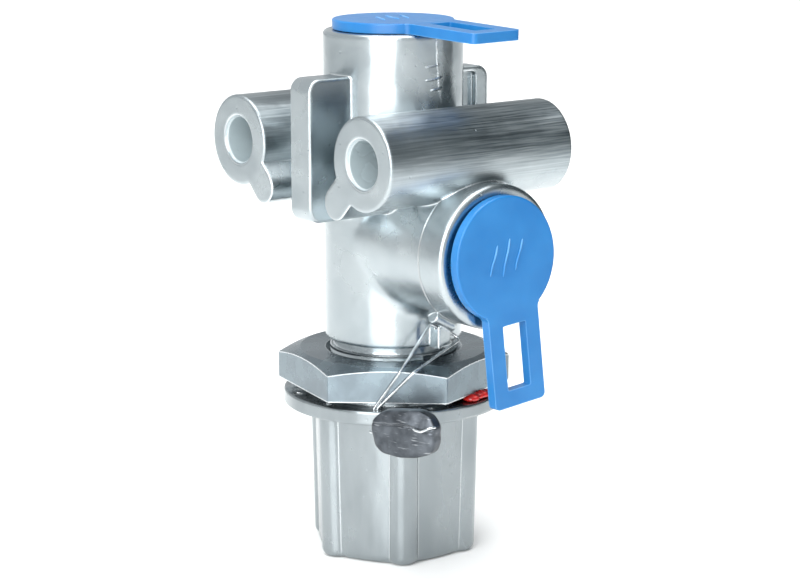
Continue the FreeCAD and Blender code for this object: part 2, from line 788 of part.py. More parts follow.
def sealing_paint():
    """Dab of lacquer bridging the flange and the underside of the nut."""
    half = paint_span / 2
    outer = flange_r - paint_inset
    band = ring(outer - paint_w, outer, flange_top_z, nut_low_z)
    far = 2 * flange_r
    wedge = Part.makePolygon([ORIGIN, polar(far, paint_angle - half), polar(far, paint_angle + half),
                              ORIGIN])
    return band.common(Part.Face(wedge).extrude(V(0, 0, nut_top_z)))


# Every node and the function that makes it
NODES = {
    "valve_body": valve_body,
    "lock_nut": lock_nut,
    "adjusting_cap": adjusting_cap,
    "piston": piston,
    "piston_o_ring": piston_o_ring,
    "guide_ring": guide_ring,
    "valve_disc": valve_disc,
    "disc_washer": disc_washer,
    "disc_screw": disc_screw,
    "valve_seat": valve_seat,
    "upper_spring_seat": upper_spring_seat,
    "lower_spring_seat": lower_spring_seat,
    "main_spring": main_spring,
    "stop_ring": stop_ring,
    "neck_o_ring": neck_o_ring,
    "inlet_strainer": inlet_strainer,
    "strainer_clip": strainer_clip,
    "vent_filter": vent_filter,
    "top_port_plug": top_port_plug,
    "side_port_plug": side_port_plug,
    "lead_seal": lead_seal,
    "seal_wire": seal_wire,
    "sealing_paint": sealing_paint,
}


if __name__ == "__main__":
    os.makedirs("parts", exist_ok=True)
    for name, make in NODES.items():
        shape = make()
        shape.exportStep("parts/" + name + ".step")
        print(name, len(shape.Solids), "solids, valid", shape.isValid(), "volume", round(shape.Volume, 1))
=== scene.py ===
import math

import bpy
import bmesh
import numpy as np
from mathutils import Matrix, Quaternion, Vector


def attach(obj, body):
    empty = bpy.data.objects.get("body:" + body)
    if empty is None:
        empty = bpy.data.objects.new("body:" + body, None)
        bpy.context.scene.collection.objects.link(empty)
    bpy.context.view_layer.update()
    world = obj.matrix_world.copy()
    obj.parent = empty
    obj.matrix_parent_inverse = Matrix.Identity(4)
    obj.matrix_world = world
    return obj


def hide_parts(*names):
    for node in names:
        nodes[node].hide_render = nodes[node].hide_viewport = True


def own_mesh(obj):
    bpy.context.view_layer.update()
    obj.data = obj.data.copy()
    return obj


# Protection valve for compressed air, dressed for the studio.
# Lengths below are in millimetres and turn to metres where they are used.
# Angles round the barrel are counted from -Y towards +X, seen from above.

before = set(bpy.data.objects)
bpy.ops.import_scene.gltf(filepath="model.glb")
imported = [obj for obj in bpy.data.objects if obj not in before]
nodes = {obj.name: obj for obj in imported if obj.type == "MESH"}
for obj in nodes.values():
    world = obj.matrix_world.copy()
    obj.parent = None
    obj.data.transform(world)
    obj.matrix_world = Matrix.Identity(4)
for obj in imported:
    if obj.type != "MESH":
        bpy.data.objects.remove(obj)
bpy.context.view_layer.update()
mm = 0.001
barrelShape = {"foot": 41.1, "length": 57.6, "footRadius": 12.85, "flare": 0.15}
tubePlace = {"out": 19.25, "up": 77.8}  # the two tubes' axes, along X
sidePortUp = 60.5
print("frame loaded,", len(nodes), "nodes")


# Camera and studio light
camera = {
    "place": (-257.65, -335.39, 140.41),
    "pitch": 77.875,  # degrees from straight down
    "yaw": -37.70,
    "lens": 103.145,
}
softboxes = {
    # name: place, point it looks at, turn, width, height (mm), brightness, spread, colour
    "keySoftbox": ((-480, -340, 330), (0, 0, 80), 0, 500, 660, 5.0, 180, "#FFFFFF"),
    "backWash": ((340, 440, 800), (340, 440, 0), -37.7, 900, 1700, 0.85, 70, "#FFFFFF"),
}
# the walls are bright at the left and behind, and fall off towards the right
surroundings = {
    "bright": "#F2F5F7",
    "dark": "#6A7377",
    "strength": 0.85,
    "towards": (-0.966, 0.259, 0),  # bright side
    "fallFrom": -0.12,  # cosine of the angle from there
    "fallTo": -0.85,
}
floorLook = {"halfWidth": 6000, "colour": "#F7F7F6"}
# a dark card at the right that only the metal's reflections see: it draws the flanks' dark bands
flagCard = {"angle": -28.5, "distance": 400, "width": 190, "height": 420, "colour": "#3C4245"}


def linear(hexColour):
    # sRGB hex to linear: c / 12.92 below 0.04045, else ((c + 0.055) / 1.055) ^ 2.4
    c = np.array([int(hexColour[i:i + 2], 16) for i in (1, 3, 5)]) / 255
    c = np.where(c <= 0.04045, c / 12.92, ((c + 0.055) / 1.055) ** 2.4)
    return (*c.tolist(), 1.0)


def addNode(tree, kind, links=None, stops=None, **settings):
    node = tree.nodes.new(kind)
    for setting, value in settings.items():
        setattr(node, setting, value)
    for socket, source in (links or {}).items():
        if isinstance(source, bpy.types.NodeSocket):
            tree.links.new(source, node.inputs[socket])
        else:
            node.inputs[socket].default_value = source
    for i, (place, colour) in enumerate(stops or ()):  # colour ramps only
        stop = node.color_ramp.elements[i] if i < 2 else node.color_ramp.elements.new(place)
        stop.position = place
        stop.color = linear(colour)
    return node


def newFinish(name, constants):
    material = bpy.data.materials.new(name)
    material.use_nodes = True
    tree = material.node_tree
    shader = tree.nodes["Principled BSDF"]
    for socket, value in constants.items():
        shader.inputs[socket].default_value = value
    place = addNode(tree, "ShaderNodeTexCoord").outputs["Object"]
    return material, tree, shader, place


def setCamera():
    data = bpy.data.cameras.new("studioCamera")
    data.sensor_width = 36
    data.lens = camera["lens"]
    data.clip_start = 0.01
    data.clip_end = 50
    eye = bpy.data.objects.new("studioCamera", data)
    eye.location = Vector(camera["place"]) * mm
    eye.rotation_euler = (math.radians(camera["pitch"]), 0, math.radians(camera["yaw"]))
    bpy.context.scene.collection.objects.link(eye)
    bpy.context.scene.camera = eye


def hangSoftboxes():
    for name, (place, target, turn, width, height, brightness, spread, colour) in softboxes.items():
        data = bpy.data.lights.new(name, "AREA")
        data.shape = "RECTANGLE"
        data.size = width * mm
        data.size_y = height * mm
        data.energy = brightness * math.pi * width * height * mm * mm  # the panel's own brightness
        data.spread = math.radians(spread)
        data.color = linear(colour)[:3]
        panel = bpy.data.objects.new(name, data)
        panel.location = Vector(place) * mm
        aim = (Vector(target) - Vector(place)).to_track_quat("-Z", "Y")
        panel.rotation_euler = (aim @ Quaternion((0, 0, 1), math.radians(turn))).to_euler()
        panel.visible_camera = False
        bpy.context.scene.collection.objects.link(panel)


def paintSurroundings():
    world = bpy.data.worlds.new("studioWalls")
    world.use_nodes = True
    tree = world.node_tree
    tree.nodes.clear()
    way = addNode(tree, "ShaderNodeTexCoord").outputs["Generated"]
    facing = addNode(tree, "ShaderNodeVectorMath", {0: way, 1: surroundings["towards"]},
                     operation="DOT_PRODUCT").outputs["Value"]
    share = addNode(tree, "ShaderNodeMapRange",
                    {"Value": facing, "From Min": surroundings["fallTo"],
                     "From Max": surroundings["fallFrom"]},
                    interpolation_type="SMOOTHSTEP").outputs[0]
    tone = addNode(tree, "ShaderNodeValToRGB", {0: share},
                   stops=[(0, surroundings["dark"]), (1, surroundings["bright"])]).outputs[0]
    glow = addNode(tree, "ShaderNodeBackground",
                   {"Color": tone, "Strength": surroundings["strength"]})
    addNode(tree, "ShaderNodeOutputWorld", {"Surface": glow.outputs[0]})
    bpy.context.scene.world = world


def mattePaper(name, colour):
    constants = {"Base Color": linear(colour), "Roughness": 0.9, "Specular IOR Level": 0.0}
    return newFinish(name, constants)[0]


def layFloor():
    half = floorLook["halfWidth"] * mm
    mesh = bpy.data.meshes.new("studioFloor")
    mesh.from_pydata([(-half, -half, 0), (half, -half, 0), (half, half, 0), (-half, half, 0)],
                     [], [(0, 1, 2, 3)])
    floor = bpy.data.objects.new("studioFloor", mesh)
    bpy.context.scene.collection.objects.link(floor)
    mesh.materials.append(mattePaper("matteFloorPaper", floorLook["colour"]))


def standFlag():
    # corners: distance (cos a, sin a) + width/2 (-sin a, cos a), on the floor and at full height
    look = flagCard
    a = math.radians(look["angle"])
    middle = Vector((math.cos(a), math.sin(a), 0)) * look["distance"]
    half = Vector((-math.sin(a), math.cos(a), 0)) * look["width"] / 2
    up = Vector((0, 0, look["height"]))
    mesh = bpy.data.meshes.new("flagCard")
    corners = [middle - half, middle + half, middle + half + up, middle - half + up]
    mesh.from_pydata([corner * mm for corner in corners], [], [(0, 1, 2, 3)])
    card = bpy.data.objects.new("flagCard", mesh)
    card.visible_camera = card.visible_diffuse = card.visible_shadow = False
    bpy.context.scene.collection.objects.link(card)
    mesh.materials.append(mattePaper("darkFlagFelt", look["colour"]))


bpy.context.scene.view_settings.view_transform = "Standard"
setCamera()
hangSoftboxes()
paintSurroundings()
layFloor()
standFlag()
print("camera, lights and floor are set")


# Patterns shared by the finishes, all in real sizes
even = (1, 1, 1)  # no stretch


def grains(tree, place, size, stretch, detail):
    # noise whose grains are size mm across, and longer along an axis with a factor under 1
    scaled = addNode(tree, "ShaderNodeMapping", {"Vector": place, "Scale": stretch}).outputs[0]
    return addNode(tree, "ShaderNodeTexNoise", {"Vector": scaled, "Scale": 1 / (size * mm),
                                                "Detail": detail}).outputs[0]


def between(tree, value, low, high, soft):
    # 1 where value lies between low and high mm, with an edge soft mm wide
    rise = addNode(tree, "ShaderNodeMapRange", {"Value": value, "From Min": (low - soft) * mm,
                                                "From Max": (low + soft) * mm}).outputs[0]
    fall = addNode(tree, "ShaderNodeMapRange", {"Value": value, "From Min": (high + soft) * mm,
                                                "From Max": (high - soft) * mm}).outputs[0]
    return addNode(tree, "ShaderNodeMath", {0: rise, 1: fall}, operation="MULTIPLY").outputs[0]


def distanceFrom(tree, place, centre, keep):
    # distance from an axis through centre; keep is (1, 0, 1) for an axis along Y
    away = addNode(tree, "ShaderNodeVectorMath", {0: place, 1: tuple(c * mm for c in centre)},
                   operation="SUBTRACT").outputs[0]
    flat = addNode(tree, "ShaderNodeVectorMath", {0: away, 1: keep},
                   operation="MULTIPLY").outputs[0]
    return addNode(tree, "ShaderNodeVectorMath", {0: flat}, operation="LENGTH").outputs["Value"]


def paintedHighlightEdges(tree, radius):
    # 1 on edges within radius mm, where the dot product of rounded and true normal drops; the
    # finishes lay a painted highlight over this mask
    rounded = addNode(tree, "ShaderNodeBevel", {"Radius": radius * mm}, samples=8).outputs[0]
    true = addNode(tree, "ShaderNodeNewGeometry").outputs["Normal"]
    same = addNode(tree, "ShaderNodeVectorMath", {0: rounded, 1: true},
                   operation="DOT_PRODUCT").outputs["Value"]
    return addNode(tree, "ShaderNodeMapRange",
                   {"Value": same, "From Min": 0.992, "From Max": 0.93}).outputs[0]


def pits(tree, place, apart, share):
    # 0 in a pit and 1 round it; spots lie apart mm from each other and share of them are pits,
    # each with a slope from 0.05 to 0.13 of that distance
    cells = addNode(tree, "ShaderNodeTexVoronoi", {"Vector": place, "Scale": 1 / (apart * mm)})
    hole = addNode(tree, "ShaderNodeMapRange", {"Value": cells.outputs["Distance"],
                                                "From Min": 0.05, "From Max": 0.13}).outputs[0]
    chosen = addNode(tree, "ShaderNodeSeparateColor", {0: cells.outputs["Color"]}).outputs[0]
    filled = addNode(tree, "ShaderNodeMath", {0: chosen, 1: share},
                     operation="GREATER_THAN").outputs[0]
    return addNode(tree, "ShaderNodeMath", {0: hole, 1: filled}, operation="MAXIMUM").outputs[0]


def overlay(tree, tone, layers):
    # lays colours over the tone; a layer is a mask, its strength and its colour
    for mask, strength, colour in layers:
        share = addNode(tree, "ShaderNodeMath", {0: mask, 1: strength},
                        operation="MULTIPLY").outputs[0]
        tone = addNode(tree, "ShaderNodeMix", {0: share, 6: tone, 7: colour},
                       data_type="RGBA").outputs[2]
    return tone


def relief(tree, layers, under=None):
    # bumps on top of each other; a layer is a height and its depth in mm
    for height, depth in layers:
        links = {"Height": height, "Distance": depth * mm, "Strength": 1.0}
        if under is not None:
            links["Normal"] = under
        under = addNode(tree, "ShaderNodeBump", links).outputs[0]
    return under


def mottledFinish(name, look):
    # colour and roughness follow a cloud, edges get a painted pale highlight, scratches and bumps
    # lie over it
    material, tree, shader, place = newFinish(name, look["shader"])
    cloud = grains(tree, place, *look["cloud"])
    tone = addNode(tree, "ShaderNodeValToRGB", {0: cloud}, stops=look["ramp"]).outputs[0]
    layers, heights, under = [], [], None
    # painted highlight: the edge colour is laid along every edge as light catching the rounding
    if "edge" in look:
        radius, share, colour = look["edge"]
        layers.append((paintedHighlightEdges(tree, radius), share, linear(colour)))
    for size, stretch, detail, depth in look["bumps"]:
        heights.append((grains(tree, place, size, stretch, detail), depth))
    if "scratch" in look:
        lines = grains(tree, place, *look["scratch"])
        share, colour, depth = look["scratched"]
        marked = addNode(tree, "ShaderNodeMapRange",
                         {"Value": lines, "From Min": 0.62, "From Max": 0.74}).outputs[0]
        layers.append((marked, share, linear(colour)))
        heights.append((lines, depth))
    if "pits" in look:
        apart, share, depth = look["pits"]
        heights.append((pits(tree, place, apart, share), depth))
    if "corner" in look:
        under = addNode(tree, "ShaderNodeBevel", {"Radius": look["corner"] * mm},
                        samples=6).outputs[0]
    if "rough" in look:
        pattern = grains(tree, place, *look["roughGrain"]) if "roughGrain" in look else cloud
        low, high = look["rough"]
        rough = addNode(tree, "ShaderNodeMapRange",
                        {"Value": pattern, "To Min": low, "To Max": high}).outputs[0]
        tree.links.new(rough, shader.inputs["Roughness"])
    tree.links.new(overlay(tree, tone, layers), shader.inputs["Base Color"])
    tree.links.new(relief(tree, heights, under), shader.inputs["Normal"])
    return material


# In the looks below a pattern is its size in mm, its stretch and its detail; a bump adds its
# depth in mm; an edge is a painted highlight along the edges: its radius in mm, its strength and
# its colour.

# Body: pressure die-cast aluminium, tumbled bright. Slight swells from the die break up its
# highlights, a fine grain dulls them, and small pits show here and there.
bodyLook = {
    "shader": {"Metallic": 1.0, "Anisotropic": 0.85, "Anisotropic Rotation": 0.25},
    "cloud": (9.0, even, 4.0),
    "ramp": ((0.35, "#ACB5B9"), (0.62, "#BCC4C7")),
    "rough": (0.18, 0.34),
    "swell": (7.0, even, 2.6),
    "swellDepth": 0.2,
    "grain": (0.3, even, 3.0),
    "grainDepth": 0.012,
    "pits": (2.2, 0.2),
    "pitDepth": 0.05,
    "corner": 0.8,
    # edge: a painted highlight along the casting's edges
    "edge": (0.45, 0.85, "#F2F6F8"),
    "screwHole": 4.5,  # radius within which the holes' oxide shows
    "oxide": "#A7B4B8",
    "oxideDulls": 0.9,
}
# The tubes are dressed with a belt along their length: its scratches are 0.35 mm apart and some
# 12 mm long, lie on the tubes' upper half and get deeper towards +X.
beltLook = {
    "scratch": (0.35, (0.03, 1, 1), 3.0),
    "ramp": ((0.36, "#596267"), (0.5, "#8B959A"), (0.66, "#BCC4C7")),
    "share": 0.8,
    "depth": 0.03,
    "roughens": 0.12,
    "radii": (8.2, 8.7),
    "heights": (72.5, 79.5),
    "lengths": (-21, -2),
    "faintest": 0.45,
}
# Threads: G 1/4 in the two ports, M24 x 1.5 on the neck. Span and radii end with a soft edge; the
# bump's height is half a turn at most, so its depth is twice the thread's.
threadCuts = {
    "topPort": {"centre": (0, 0, 0), "keep": (1, 1, 0), "axes": "XYZ", "span": (86.2, 98.3, 0.2),
                "radii": (5.4, 6.6, 0.05), "pitch": 1.337, "depth": 1.2},
    "sidePort": {"centre": (0, 0, sidePortUp), "keep": (1, 0, 1), "axes": "XZY",
                 "span": (-29.9, -17.6, 0.2), "radii": (5.4, 6.6, 0.05), "pitch": 1.337,
                 "depth": 1.2},
    "neck": {"centre": (0, 0, 0), "keep": (1, 1, 0), "axes": "XYZ", "span": (20.8, 39.5, 0.1),
             "radii": (11.6, 12.1, 0.05), "pitch": 1.5, "depth": 1.4},
}


def aroundTubes(tree, place, low, high, soft):
    # 1 where the distance from either tube's axis lies between low and high mm
    sides = [between(tree, distanceFrom(tree, place, (0, side * tubePlace["out"], tubePlace["up"]),
                                        (0, 1, 1)), low, high, soft) for side in (-1, 1)]
    return addNode(tree, "ShaderNodeMath", {0: sides[0], 1: sides[1]},
                   operation="MAXIMUM").outputs[0]


def beltTouch(tree, place):
    # how hard the belt went over the casting, from 0 to 1
    look = beltLook
    axes = addNode(tree, "ShaderNodeSeparateXYZ", {0: place}).outputs
    touch = aroundTubes(tree, place, *look["radii"], 0.1)
    rises = (("Z", look["heights"], 0.0), ("X", look["lengths"], look["faintest"]))
    for axis, (start, stop), least in rises:
        rise = addNode(tree, "ShaderNodeMapRange", {"Value": axes[axis], "From Min": start * mm,
                                                    "From Max": stop * mm,
                                                    "To Min": least}).outputs[0]
        touch = addNode(tree, "ShaderNodeMath", {0: touch, 1: rise},
                        operation="MULTIPLY").outputs[0]
    return touch


def threadTurns(tree, place, cut):
    # helix: steps = along / pitch - angle / 2 pi + 1/2 with angle = atan2(up, across), and the
    # height is the distance of steps from the nearest whole number; 0 off the thread's surface
    centre = tuple(c * mm for c in cut["centre"])
    away = addNode(tree, "ShaderNodeVectorMath", {0: place, 1: centre},
                   operation="SUBTRACT").outputs[0]
    axes = addNode(tree, "ShaderNodeSeparateXYZ", {0: away}).outputs
    across, up, along = (axes[letter] for letter in cut["axes"])
    angle = addNode(tree, "ShaderNodeMath", {0: up, 1: across}, operation="ARCTAN2").outputs[0]
    turns = addNode(tree, "ShaderNodeMath", {0: angle, 1: -1 / (2 * math.pi), 2: 0.5},
                    operation="MULTIPLY_ADD").outputs[0]
    steps = addNode(tree, "ShaderNodeMath", {0: along, 1: 1 / (cut["pitch"] * mm), 2: turns},
                    operation="MULTIPLY_ADD").outputs[0]
    height = addNode(tree, "ShaderNodeMath", {0: steps, 1: 0.5}, operation="PINGPONG").outputs[0]
    radius = distanceFrom(tree, place, cut["centre"], cut["keep"])
    for value, span in ((along, cut["span"]), (radius, cut["radii"])):
        height = addNode(tree, "ShaderNodeMath", {0: height, 1: between(tree, value, *span)},
                         operation="MULTIPLY").outputs[0]
    return height


def castAluminium():
    # the casting was drawn out of its die upwards, so its shine is stretched along the barrel
    look = bodyLook
    material, tree, shader, place = newFinish("tumbledDieCastAluminium", look["shader"])
    blotch = grains(tree, place, *look["cloud"])
    tone = addNode(tree, "ShaderNodeValToRGB", {0: blotch}, stops=look["ramp"]).outputs[0]
    belt = grains(tree, place, *beltLook["scratch"])
    streaks = addNode(tree, "ShaderNodeValToRGB", {0: belt}, stops=beltLook["ramp"]).outputs[0]
    touch = beltTouch(tree, place)
    oxide = aroundTubes(tree, place, 0, look["screwHole"], 0.05)  # dull skin in the screw holes
    # painted highlight: near-white colour along every edge of the casting
    edgeHighlightRadius, edgeHighlightShare, edgeHighlightColour = look["edge"]
    tone = overlay(tree, tone, [
        (touch, beltLook["share"], streaks),
        (oxide, 1.0, linear(look["oxide"])),
        (paintedHighlightEdges(tree, edgeHighlightRadius), edgeHighlightShare, linear(edgeHighlightColour)),
    ])
    tree.links.new(tone, shader.inputs["Base Color"])
    bare = addNode(tree, "ShaderNodeMath", {0: oxide, 1: -look["oxideDulls"], 2: 1.0},
                   operation="MULTIPLY_ADD").outputs[0]
    tree.links.new(bare, shader.inputs["Metallic"])

    low, high = look["rough"]
    rough = addNode(tree, "ShaderNodeMapRange",
                    {"Value": blotch, "To Min": low, "To Max": high}).outputs[0]
    rough = addNode(tree, "ShaderNodeMath", {0: touch, 1: beltLook["roughens"], 2: rough},
                    operation="MULTIPLY_ADD").outputs[0]
    tree.links.new(rough, shader.inputs["Roughness"])

    scratched = addNode(tree, "ShaderNodeMath", {0: touch, 1: belt},
                        operation="MULTIPLY").outputs[0]
    soft = addNode(tree, "ShaderNodeBevel", {"Radius": look["corner"] * mm}, samples=8).outputs[0]
    skin = relief(tree, [
        (grains(tree, place, *look["swell"]), look["swellDepth"]),
        (grains(tree, place, *look["grain"]), look["grainDepth"]),
        (scratched, beltLook["depth"]),
        (pits(tree, place, *look["pits"]), look["pitDepth"]),
        *((threadTurns(tree, place, cut), cut["depth"]) for cut in threadCuts.values()),
    ], soft)
    tree.links.new(skin, shader.inputs["Normal"])
    return material


castBody = castAluminium()

# Lock nut: mild steel, bright zinc plated. A cold bluish white with a soft bloom.
nutLook = {
    "shader": {"Metallic": 1.0, "Anisotropic": 0.8, "Anisotropic Rotation": 0.25},
    "cloud": (4.0, even, 4.0),
    "ramp": ((0.35, "#747F86"), (0.6, "#808D94")),
    "rough": (0.2, 0.34),
    # edge: a painted highlight along the nut's edges
    "edge": (0.4, 0.9, "#F4F8FA"),
    "bumps": ((5.0, even, 0.5, 0.05), (0.8, even, 1.0, 0.003)),
}
zinc = mottledFinish("brightZincPlatedSteel", nutLook)

# Cap: die-cast aluminium with a satin shot-blast. It was drawn upright out of its die, so its
# swells run down the ribs.
capLook = {
    "shader": {"Metallic": 1.0, "Anisotropic": 0.9, "Anisotropic Rotation": 0.25},
    "cloud": (6.0, (1, 1, 0.35), 4.0),
    "ramp": ((0.35, "#8F9699"), (0.6, "#9EA5A8")),
    "rough": (0.19, 0.33),
    # edge: a painted highlight along the cap's edges
    "edge": (0.4, 0.8, "#EEF2F4"),
    "bumps": ((5.0, (1, 1, 0.3), 2.4, 0.16), (0.3, even, 2.0, 0.008)),
    "pits": (1.8, 0.15, 0.05),
    "corner": 0.5,
}
satinCap = mottledFinish("satinDieCastAluminium", capLook)

# Plugs: blue low-density polyethylene, moulded. Waxy, with soft wide highlights. The raised bars
# are the same plastic in a paler blue.
plugLook = {
    "shader": {"IOR": 1.51, "Subsurface Weight": 0.08, "Subsurface Scale": 1.0,
               "Subsurface Radius": (0.0006, 0.0012, 0.0022)},
    "cloud": (8.0, even, 2.0),
    "ramp": ((0.35, "#146AAA"), (0.68, "#2074B3")),
    "roughGrain": (1.5, even, 3.0),
    "rough": (0.25, 0.38),
    # edge: a painted highlight along the plugs' rims and the bars' edges
    "edge": (0.3, 0.45, "#74ACDC"),
    "bumps": ((4.0, even, 1.0, 0.04), (0.25, even, 2.0, 0.004)),
}
barLook = {**plugLook, "ramp": ((0.35, "#2074B3"), (0.68, "#74ACDC"))}
plastic = mottledFinish("bluePolyethylene", plugLook)
palePlastic = mottledFinish("paleBluePolyethylene", barLook)

# Seal: soft lead, oxidised to a dark blue grey, with bright scratches where the pliers slid.
leadLook = {
    "shader": {"Metallic": 1.0},
    "cloud": (2.6, even, 4.0),
    "ramp": ((0.3, "#45494E"), (0.7, "#676C72")),
    "rough": (0.3, 0.54),
    # edge: a painted highlight along the seal's edges
    "edge": (0.5, 0.5, "#B4B9BD"),
    "scratch": (0.3, (0.12, 0.12, 0.9), 3.0),
    "scratched": (0.7, "#B4B9BD", 0.03),  # strength, colour, depth
    "bumps": ((1.6, even, 2.5, 0.1),),
}
lead = mottledFinish("oxidisedLead", leadLook)

# Lacquer: thick red sealing lacquer, glossy, a little deeper where it is thick.
lacquerLook = {
    "shader": {"IOR": 1.5, "Coat Weight": 0.6, "Coat Roughness": 0.08, "Roughness": 0.22},
    "cloud": (1.5, even, 3.0),
    "ramp": ((0.36, "#8E1110"), (0.58, "#C9211C")),
    "bumps": ((1.2, even, 1.0, 0.06),),
}
lacquer = mottledFinish("redSealingLacquer", lacquerLook)

# Springs and rings: oil-tempered wire, nearly black, with a faint drawn line.
springLook = {
    "shader": {"Metallic": 1.0},
    "cloud": (1.8, even, 4.0),
    "ramp": ((0.35, "#3A3B3D"), (0.65, "#66686A")),
    "rough": (0.26, 0.46),
    "bumps": ((0.3, even, 2.0, 0.01),),
}
tempered = mottledFinish("oilTemperedSpringSteel", springLook)

# Rubber: nitrile, moulded, matte black with a dusty bloom.
rubberLook = {
    "shader": {"IOR": 1.52},
    "cloud": (1.2, even, 4.0),
    "ramp": ((0.35, "#17181A"), (0.7, "#2C2D2F")),
    "rough": (0.52, 0.74),
    "bumps": ((0.2, even, 2.0, 0.01),),
}
rubber = mottledFinish("nitrileRubber", rubberLook)

# Guide ring: filled PTFE, waxy and off-white, with the lay of the skiving knife.
guideLook = {
    "shader": {"IOR": 1.38},
    "cloud": (0.3, (0.1, 0.1, 1), 3.0),
    "ramp": ((0.35, "#CFC7B4"), (0.6, "#E8E2D3")),
    "rough": (0.36, 0.52),
    "bumps": ((0.3, (0.1, 0.1, 1), 3.0, 0.01),),
}
ptfe = mottledFinish("filledPtfe", guideLook)

# Turned metals: the tool's grooves run round the barrel's axis and break the shine into rings.
turnedLook = {
    # name: dull, bright, roughness, groove (mm)
    "clearTurnedAluminium": ("#B9BCBE", "#D8DADB", 0.3, 0.25),
    "turnedBrass": ("#B98F44", "#E0BC6B", 0.26, 0.2),
    "brightMildSteel": ("#8E8D8A", "#B9B8B5", 0.34, 0.3),
    "brightDrawnWire": ("#B9BEC1", "#E6EAEC", 0.22, 0.2),
}
ringStretch = (0.02, 0.02, 1)


def turnedMetal(name):
    dull, bright, roughness, groove = turnedLook[name]
    return mottledFinish(name, {
        "shader": {"Metallic": 1.0},
        "cloud": (2.5, even, 3.0),
        "ramp": ((0.35, dull), (0.6, bright)),
        "roughGrain": (groove, ringStretch, 2.0),
        "rough": (roughness - 0.08, roughness + 0.1),
        "bumps": ((groove, ringStretch, 2.0, 0.03),),
    })


steel = turnedMetal("brightMildSteel")
brightWire = turnedMetal("brightDrawnWire")

# Strainer and vent filter: bronze balls sintered together, in bronze's own colour on top and
# darkened between them, painted shade in the pores.
sinterLook = {"bright": "#C08F55", "dark": "#5F4024", "ball": 0.35, "depth": 0.3, "roughness": 0.48}


def sinteredBronze():
    look = sinterLook
    material, tree, shader, place = newFinish("sinteredBronze", {
        "Metallic": 1.0, "Roughness": look["roughness"]})
    balls = addNode(tree, "ShaderNodeTexVoronoi",
                    {"Vector": place, "Scale": 1 / (look["ball"] * mm)},
                    feature="SMOOTH_F1").outputs["Distance"]
    # painted shade: the colour darkens from each ball's middle to the gaps between balls
    tone = addNode(tree, "ShaderNodeValToRGB", {0: balls},
                   stops=[(0.2, look["bright"]), (0.62, look["dark"])]).outputs[0]
    tree.links.new(tone, shader.inputs["Base Color"])
    height = addNode(tree, "ShaderNodeMath", {0: 1.0, 1: balls}, operation="SUBTRACT").outputs[0]
    tree.links.new(relief(tree, [(height, look["depth"])]), shader.inputs["Normal"])
    return material


bronze = sinteredBronze()
finishes = {
    "valve_body": castBody,
    "lock_nut": zinc,
    "adjusting_cap": satinCap,
    "piston": turnedMetal("clearTurnedAluminium"),
    "piston_o_ring": rubber,
    "guide_ring": ptfe,
    "valve_disc": rubber,
    "disc_washer": steel,
    "disc_screw": steel,
    "valve_seat": turnedMetal("turnedBrass"),
    "upper_spring_seat": steel,
    "lower_spring_seat": steel,
    "main_spring": tempered,
    "stop_ring": tempered,
    "neck_o_ring": rubber,
    "inlet_strainer": bronze,
    "strainer_clip": tempered,
    "vent_filter": bronze,
    "top_port_plug": plastic,
    "side_port_plug": plastic,
    "lead_seal": lead,
    "seal_wire": brightWire,
    "sealing_paint": lacquer,
}
for node, material in finishes.items():
    for slot in nodes[node].material_slots:
        slot.material = material
print("finishes are on", len(finishes), "nodes")


# Shapes worked out on grids
def surface(name, points, material, rider):
    # points is rows x columns x 3 in mm; rows run from pole to pole and columns close on themselves
    rows, columns = points.shape[:2]
    at = np.arange(rows * columns).reshape(rows, columns)
    after = np.roll(at, -1, axis=1)
    faces = np.stack([at[:-1], after[:-1], after[1:], at[1:]], axis=-1).reshape(-1, 4)
    mesh = bpy.data.meshes.new(name)
    mesh.from_pydata((points.reshape(-1, 3) * mm).tolist(), [], faces.tolist())
    shell = bmesh.new()
    shell.from_mesh(mesh)
    bmesh.ops.remove_doubles(shell, verts=shell.verts, dist=1e-7)
    bmesh.ops.recalc_face_normals(shell, faces=shell.faces)
    shell.to_mesh(mesh)
    shell.free()
    mesh.shade_smooth()
    mesh.materials.append(material)
    piece = bpy.data.objects.new(name, mesh)
    bpy.context.scene.collection.objects.link(piece)
    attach(piece, rider)
    return piece


def bead(path, sideways, upwards, width, height, end=6.0, columns=20):
    # P(s, t) = path(s) + sideways cos(t) width/2 taper(s) + upwards sin(t) height taper(s)
    # taper(s) = (1 - |2s - 1|^end)^(1/2) closes both ends to a point, bluntly where end is high
    s = np.linspace(0, 1, len(path))[:, None, None]
    t = np.linspace(0, 2 * np.pi, columns, endpoint=False)[None, :, None]
    taper = np.sqrt(np.clip(1 - np.abs(2 * s - 1) ** end, 0, 1))
    return (path[:, None] + sideways[:, None] * np.cos(t) * width / 2 * taper
            + upwards[:, None] * np.sin(t) * height * taper)


def waves(s, terms):
    # sum of height sin(count s + start) over the terms
    return sum(height * np.sin(count * s + start) for height, count, start in terms)


def directions(path):
    # unit vectors along a path
    along = np.gradient(path, axis=0)
    return along / np.linalg.norm(along, axis=1, keepdims=True)


def onBarrel(angle, z, out=0.0):
    # r(z) = footRadius + flare (z - foot) / length + out; x = r sin(angle), y = -r cos(angle)
    look = barrelShape
    a = np.radians(angle)
    r = look["footRadius"] + look["flare"] * (z - look["foot"]) / look["length"] + out
    return np.stack([r * np.sin(a), -r * np.cos(a), z + 0 * a], axis=-1)


# Flash left where the die halves met, front and back, and three witness marks beside it
flashLook = {
    "width": 0.5,
    "height": 0.11,
    "sunk": 0.03,
    "wobble": ((0.25, 17, 0), (0.12, 41, 0)),
    "runs": {
        # name: z from, z to, angle from, angle to
        "flashUpper": (86.0, 98.0, 5.3, -0.9),
        "flashBackUpper": (86.5, 98.0, 181.5, 180.4),
        "flashBackLower": (41.6, 68.0, 180.6, 181.2),
    },
    "markWidth": 0.55,
    "markWave": 0.2,
    "marks": {
        # name: z, angle from, angle to, height
        "witnessUpper": (90.7, -11.5, 6.5, 0.28),
        "witnessLower": (88.8, -7.0, 6.0, 0.28),
        "witnessTop": (93.1, -11.5, 3.2, 0.112),
    },
}


